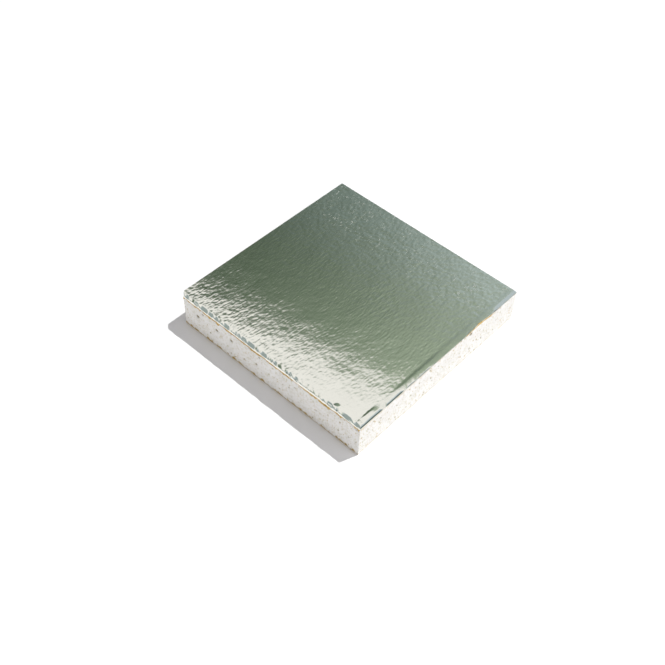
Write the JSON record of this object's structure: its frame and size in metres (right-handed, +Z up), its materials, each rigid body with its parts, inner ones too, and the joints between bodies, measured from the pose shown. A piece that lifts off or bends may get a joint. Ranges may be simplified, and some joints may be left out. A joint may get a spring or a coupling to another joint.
{
  "type": "foil-backed drywall board",
  "caption": "Square piece cut from foil-backed gypsum board, a vapour-barrier wall lining: porous white core between paper linings, with its aluminium foil turned down a little over the front edges.",
  "frame": {"origin": "middle of the underside, on the surface that the board lies on", "axes": "+Z up through the thickness, out of the foil side; -Y and +X towards the edges that the foil turns down over; the broken corner is between -X and -Y"},
  "size_m": [0.075, 0.075, 0.0125],
  "materials": {
    "gypsum": "porous cast gypsum, matt, with air holes and tan specks",
    "kraft_lining": "brown kraft paper, matt",
    "foil": "bright rolled foil with a fine creped relief",
    "face_lining": "pale board paper, matt"
  },
  "bodies": {
    "root": {"gypsum_core": "gypsum", "back_paper": "kraft_lining", "foil_facing": "foil", "face_paper": "face_lining"}
  },
  "joints": []
}
